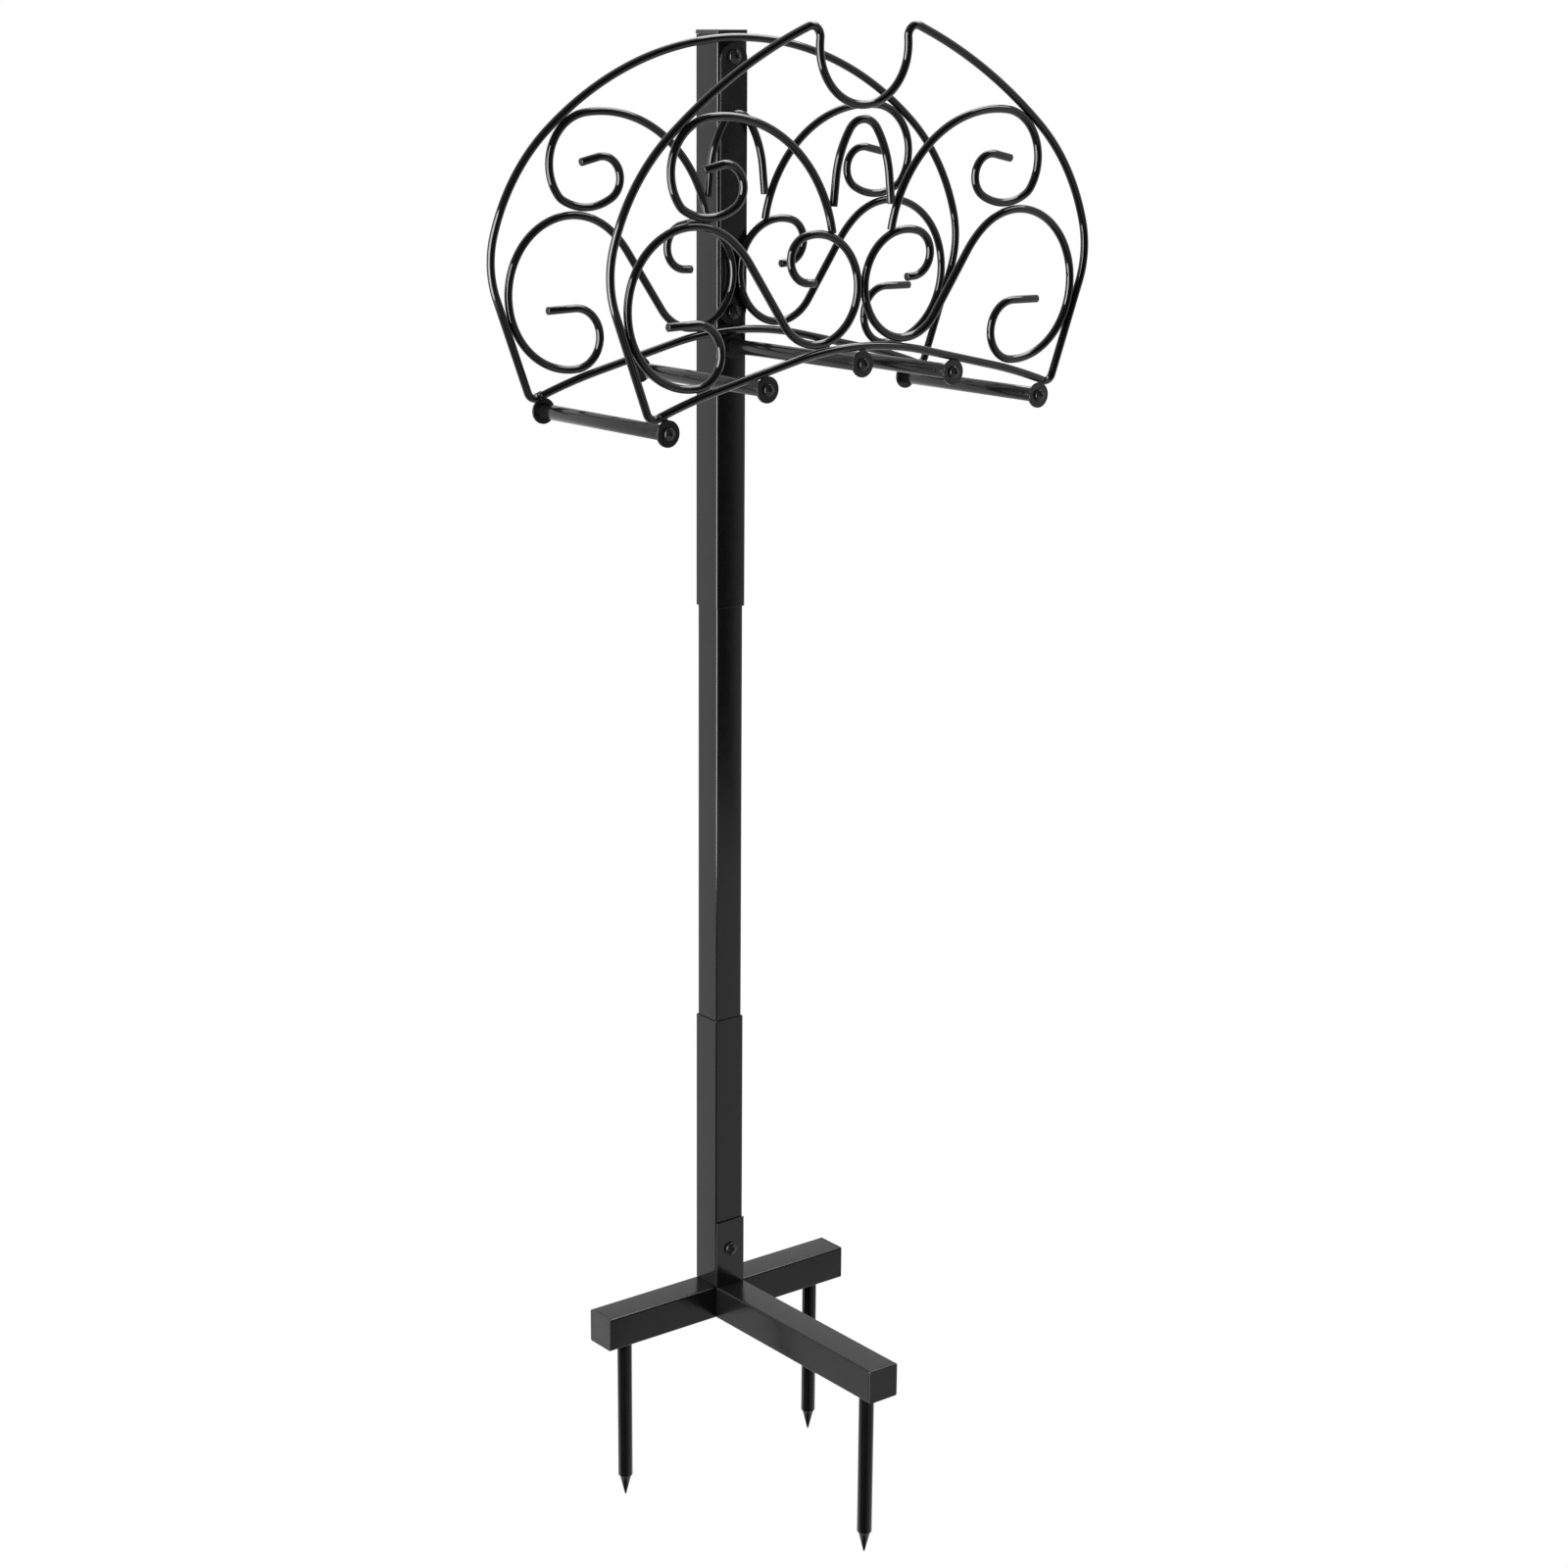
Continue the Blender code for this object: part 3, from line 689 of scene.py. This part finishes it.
for number in range(1, 6):
    hub = middle("hose_bar_%d" % number)
    drop, slope = rail_over(hub.x, hub.z)
    for side, tab_top in (("front", drop - FRONT_TAB_SHORT), ("rear", drop + REAR_TAB_OVER)):
        node = "%s_ear_%d" % (side, number)
        low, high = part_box(node)
        reach = math.asin(EAR_TAB_HALF / EAR_R)
        flat = tab_top < EAR_R * math.cos(reach)
        reach = math.degrees(math.acos(tab_top / EAR_R) if flat else reach)
        tab = [] if flat else [(EAR_TAB_HALF, tab_top), (-EAR_TAB_HALF, tab_top)]
        ear = bmesh.new()
        left, right = round_run(ear, 0, 0, EAR_R, 90.0 + reach, 360.0 - 2 * reach, EAR_STEPS)
        straight_run(ear, right, tab, left)
        hole(ear, 0, EAR_HOLE_R)
        plate(ear, high.y - low.y)
        turn(ear, slope, "Y")
        move(ear, (hub.x, (low.y + high.y) / 2, hub.z))
        new_piece(node + "_plate", ear, PLATE_COAT, "upper_section", [node], flats=True)

low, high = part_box("rear_mounting_strip")
strip_r = (high.x - low.x) / 2
strip = bmesh.new()
top_right, top_left = round_run(strip, 0, high.z - strip_r, strip_r, 0.0, 180.0, STRIP_STEPS)
low_left, low_right = round_run(strip, 0, low.z + strip_r, strip_r, 180.0, 180.0, STRIP_STEPS)
straight_run(strip, top_left, [], low_left)
straight_run(strip, low_right, [], top_right)
for bolt in ("strip_bolt_lower", "strip_bolt_upper"):
    hole(strip, middle(bolt).z, BOLT_HOLE_R)
plate(strip, high.y - low.y)
move(strip, (0, (low.y + high.y) / 2, 0))
new_piece(
    "rear_mounting_strip_plate",
    strip,
    PLATE_COAT,
    "upper_section",
    ["rear_mounting_strip"],
    flats=True,
)

low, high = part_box("base_foot_plate")
foot = bmesh.new()
corner = foot.verts.new((low.x, 0.0, low.z))
straight_run(foot, corner, [(high.x, low.z), (high.x, high.z), (low.x, high.z)], corner)
hole(foot, middle("base_bolt").z, BOLT_HOLE_R)
plate(foot, high.y - low.y)
move(foot, (0, (low.y + high.y) / 2, 0))
new_piece(
    "base_foot_plate_plate",
    foot,
    PLATE_COAT,
    "base",
    ["base_foot_plate"],
    flats=True,
)


# ------------------------------------------------------------------ screws and nut
BOLT_HEAD = (0.0060, 0.0040, 0.0029)
EAR_HEAD = (0.0048, 0.0034, 0.0024)
RECESS_REACH, RECESS_WIDE, RECESS_DEEP = 0.52, 0.0011, 0.5
RECESS_NARROWS = (0.55, 0.75, 1.0)
CROWN_SHARE, CROWN_STEPS = 1.47, 8
HEAD_EDGE, HEAD_EDGE_DROP, HEAD_EDGE_ANGLE = 0.0012, 0.86, 52.0
HEAD_UNDERSIDE, SHANK_POINT = 0.0002, 0.0008
NUT_EDGE = 0.0005


def cut_out(mesh, cutters):
    """The mesh with the cutters taken out of it, as a new bmesh."""
    holder = bpy.data.objects.new("blank", mesh)
    bpy.context.scene.collection.objects.link(holder)
    for cutter in cutters:
        modifier = holder.modifiers.new(cutter.name, "BOOLEAN")
        modifier.operation = "DIFFERENCE"
        modifier.solver = "EXACT"
        modifier.object = cutter
    bpy.context.view_layer.update()
    graph = bpy.context.evaluated_depsgraph_get()
    result = bpy.data.meshes.new_from_object(holder.evaluated_get(graph))
    bm = bmesh.new()
    bm.from_mesh(result)
    for used in (holder, *cutters):
        bpy.data.meshes.remove(used.data)
    bpy.data.meshes.remove(result)
    return bm


def tapered_bar(name, length, width, depth, top):
    """A bar that narrows downwards, which cuts one arm of a cross recess."""
    bm = bmesh.new()
    bmesh.ops.create_cube(bm, size=1.0)
    bmesh.ops.scale(bm, vec=(length, width, depth * 2), verts=bm.verts)
    move(bm, (0, 0, top))
    lower = [v for v in bm.verts if v.co.z < top]
    bmesh.ops.scale(bm, vec=RECESS_NARROWS, verts=lower)
    mesh = bpy.data.meshes.new(name)
    bm.to_mesh(mesh)
    bm.free()
    obj = bpy.data.objects.new(name, mesh)
    bpy.context.scene.collection.objects.link(obj)
    return obj


def pan_head_screw(head, shank):
    """A pan head with a cross recess: bearing face at Z = 0, head up, shank down."""
    head_r, head_h, shank_r = head
    crown, crown_r, flat = [(0.0, head_h)], CROWN_SHARE * head_r, head_r - HEAD_EDGE
    for i in range(1, CROWN_STEPS + 1):
        r = flat * i / CROWN_STEPS
        crown.append((r, head_h - crown_r + math.sqrt(crown_r**2 - r**2)))
    rim_z = crown[-1][1] - HEAD_EDGE * HEAD_EDGE_DROP
    profile = crown + arc(flat, rim_z, HEAD_EDGE, HEAD_EDGE_ANGLE, 0.0, 5)
    profile += [(head_r, HEAD_UNDERSIDE), (head_r - HEAD_UNDERSIDE, 0.0), (shank_r, 0.0)]
    profile += [(shank_r, SHANK_POINT - shank), (shank_r - SHANK_POINT, -shank), (0.0, -shank)]
    bm = turned(profile, SCREW_STEPS)
    bmesh.ops.recalc_face_normals(bm, faces=bm.faces)
    mesh = bpy.data.meshes.new("screw_blank")
    bm.to_mesh(mesh)
    bm.free()
    reach, deep = 2 * RECESS_REACH * head_r, RECESS_DEEP * head_h
    cutters = [
        tapered_bar("recess_x", reach, RECESS_WIDE, deep, head_h),
        tapered_bar("recess_y", RECESS_WIDE, reach, deep, head_h),
    ]
    return cut_out(mesh, cutters)


def screw_piece(node, body, head_towards, driven_to, head=BOLT_HEAD):
    """A screw whose head faces -Y or +Y, in the CAD screw's place."""
    low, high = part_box(node)
    bm = pan_head_screw(head, high.y - low.y - head[1])
    turn(bm, driven_to, "Z")
    centre = (low + high) / 2
    if head_towards == "-Y":
        turn(bm, 90.0, "X")
        move(bm, (centre.x, low.y + head[1], centre.z))
    else:
        turn(bm, -90.0, "X")
        move(bm, (centre.x, high.y - head[1], centre.z))
    new_piece(node + "_pan_head", bm, SCREW_BLACK, body, [node], smooth_angle=32.0)


screw_piece("base_bolt", "base", "-Y", 0.0)
for count, node in enumerate(("strip_bolt_lower", "strip_bolt_upper")):
    screw_piece(node, "upper_section", "-Y", 20.0 + 35.0 * count)
for number in range(1, 6):
    front, rear = ("%s_ear_screw_%d" % (side, number) for side in ("front", "rear"))
    screw_piece(front, "upper_section", "-Y", 17.0 * number, EAR_HEAD)
    if number != 3:
        screw_piece(rear, "upper_section", "+Y", 23.0 * number, EAR_HEAD)

low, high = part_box("base_nut")
nut_r, nut_t = (high.x - low.x) / 2, high.y - low.y
nut = bmesh.new()
bmesh.ops.create_cone(
    nut, cap_ends=True, segments=6, radius1=nut_r, radius2=nut_r, depth=nut_t
)
rims = [e for e in nut.edges if abs(e.verts[0].co.z - e.verts[1].co.z) < LEVEL]
round_edges(nut, rims, NUT_EDGE, 2)
lay_along(nut, "Y")
move(nut, (low + high) / 2)
new_piece(
    "base_nut_hex",
    nut,
    SCREW_BLACK,
    "base",
    ["base_nut"],
    smooth_angle=30.0,
    flats=True,
)


# ------------------------------------------------------------------ studio
def math_node(tree, operation, first, second=0.0):
    node = tree.nodes.new("ShaderNodeMath")
    node.operation = operation
    for socket, given in zip(node.inputs, (first, second)):
        if isinstance(given, (int, float)):
            socket.default_value = given
        else:
            tree.links.new(given, socket)
    return node.outputs["Value"]


def smooth_step(tree, source, start, end, level=1.0):
    """0 up to start, then a soft rise to level at end. Start may lie above end."""
    node = tree.nodes.new("ShaderNodeMapRange")
    node.interpolation_type = "SMOOTHSTEP"
    node.inputs["From Min"].default_value = start
    node.inputs["From Max"].default_value = end
    node.inputs["To Max"].default_value = level
    tree.links.new(source, node.inputs["Value"])
    return node.outputs["Result"]


def towards(tree, direction, degrees_from_x):
    """How far a direction points level along a bearing, from -1 to 1."""
    node = tree.nodes.new("ShaderNodeVectorMath")
    node.operation = "DOT_PRODUCT"
    bearing = math.radians(degrees_from_x)
    node.inputs[1].default_value = (math.cos(bearing), math.sin(bearing), 0.0)
    tree.links.new(direction, node.inputs[0])
    return node.outputs["Value"]


# Bearings are counted from +X towards +Y. The camera stands at -127 degrees.
BACKDROP_BEARING, RIGHT_BEARING = 53.3, -36.7
BACKDROP_LEVEL, UNDER_RIGHT_LEVEL, SPILL_LEVEL, DARK_LEVEL = 0.80, 0.62, 0.75, 0.02
# Each soft edge runs from dark to full level: shares towards a bearing, rises or bearings.
BACKDROP_EDGE = (-0.24, 0.12)
UNDER_TOP, UNDER_SIDE = (-0.235, -0.285), (0.1, 0.6)
SPILL_NEAR, SPILL_FAR = (-53.6, -47.5), (30.0, 10.0)
SPILL_TOP = (0.6, 0.2)

world = bpy.data.worlds.new("studio")
bpy.context.scene.world = world
world.use_nodes = True
tree = world.node_tree
background = tree.nodes["Background"]
background.inputs["Color"].default_value = (1, 1, 1, 1)
direction = tree.nodes.new("ShaderNodeTexCoord").outputs["Generated"]
split = tree.nodes.new("ShaderNodeSeparateXYZ")
tree.links.new(direction, split.inputs["Vector"])
rise = split.outputs["Z"]
facing = towards(tree, direction, BACKDROP_BEARING)
backdrop = smooth_step(tree, facing, *BACKDROP_EDGE, BACKDROP_LEVEL)
under = math_node(
    tree,
    "MULTIPLY",
    smooth_step(tree, rise, *UNDER_TOP, UNDER_RIGHT_LEVEL),
    smooth_step(tree, towards(tree, direction, RIGHT_BEARING), *UNDER_SIDE),
)
bearing = math_node(tree, "ARCTAN2", split.outputs["Y"], split.outputs["X"])
spill = math_node(
    tree,
    "MULTIPLY",
    smooth_step(tree, bearing, *map(math.radians, SPILL_NEAR), SPILL_LEVEL),
    smooth_step(tree, bearing, *map(math.radians, SPILL_FAR)),
)
spill = math_node(tree, "MULTIPLY", spill, smooth_step(tree, rise, *SPILL_TOP))
seen_directly = tree.nodes.new("ShaderNodeLightPath").outputs["Is Camera Ray"]
level = backdrop
for other in (DARK_LEVEL, under, spill, seen_directly):
    level = math_node(tree, "MAXIMUM", level, other)
tree.links.new(level, background.inputs["Strength"])

# The floor is a white light table: it shows white and lets the studio light through.
FLOOR_R, FLOOR_GAP = 6.0, 0.0002
floor_bm = bmesh.new()
bmesh.ops.create_circle(floor_bm, cap_ends=True, segments=96, radius=FLOOR_R)
move(floor_bm, (0, 0, cad_low.z - FLOOR_GAP))
floor_mesh = bpy.data.meshes.new("studio_floor")
floor_bm.to_mesh(floor_mesh)
floor_bm.free()
table = bpy.data.materials.new("white_light_table")
table.use_nodes = True
tree = table.node_tree
tree.nodes.clear()
glow = tree.nodes.new("ShaderNodeEmission")
clear = tree.nodes.new("ShaderNodeBsdfTransparent")
choose = tree.nodes.new("ShaderNodeMixShader")
table_out = tree.nodes.new("ShaderNodeOutputMaterial")
seen_directly = tree.nodes.new("ShaderNodeLightPath").outputs["Is Camera Ray"]
tree.links.new(seen_directly, choose.inputs["Fac"])
tree.links.new(clear.outputs["BSDF"], choose.inputs[1])
tree.links.new(glow.outputs["Emission"], choose.inputs[2])
tree.links.new(choose.outputs["Shader"], table_out.inputs["Surface"])
floor_mesh.materials.append(table)
floor = bpy.data.objects.new("studio_floor", floor_mesh)
bpy.context.scene.collection.objects.link(floor)


def softbox(name, place, target, width, height, radiance):
    """A rectangular light that shows in reflections and not to the camera."""
    light = bpy.data.lights.new(name, "AREA")
    light.shape = "RECTANGLE"
    light.size, light.size_y = width, height
    light.energy = radiance * math.pi * width * height
    box = bpy.data.objects.new(name, light)
    box.location = place
    aim = Vector(target) - Vector(place)
    box.rotation_euler = aim.to_track_quat("-Z", "Y").to_euler()
    box.visible_camera = False
    bpy.context.scene.collection.objects.link(box)


softbox("left_softbox", (-1.70, -0.10, 0.90), (0, -0.10, 0.90), 1.5, 2.0, 12.0)
softbox("high_softbox", (1.58, 0.18, 3.05), (0, -0.10, 1.0), 3.0, 1.1, 6.5)


# ------------------------------------------------------------------ camera and colour
CAMERA_AT = (-1.4983, -1.9540, 1.1413)
CAMERA_YAW, CAMERA_PITCH, CAMERA_ROLL = 36.711, 15.307, -0.0955
camera_data = bpy.data.cameras.new("studio_camera")
camera_data.lens = 67.39
camera_data.sensor_width = 36.0
camera_data.shift_x = 0.0651
camera_data.shift_y = 0.0187
camera = bpy.data.objects.new("studio_camera", camera_data)
look = (
    Matrix.Rotation(math.radians(-CAMERA_YAW), 4, "Z")
    @ Matrix.Rotation(math.radians(90.0 - CAMERA_PITCH), 4, "X")
    @ Matrix.Rotation(math.radians(CAMERA_ROLL), 4, "Z")
)
camera.matrix_world = Matrix.Translation(CAMERA_AT) @ look
bpy.context.scene.collection.objects.link(camera)
bpy.context.scene.camera = camera
bpy.context.scene.view_settings.view_transform = "Standard"
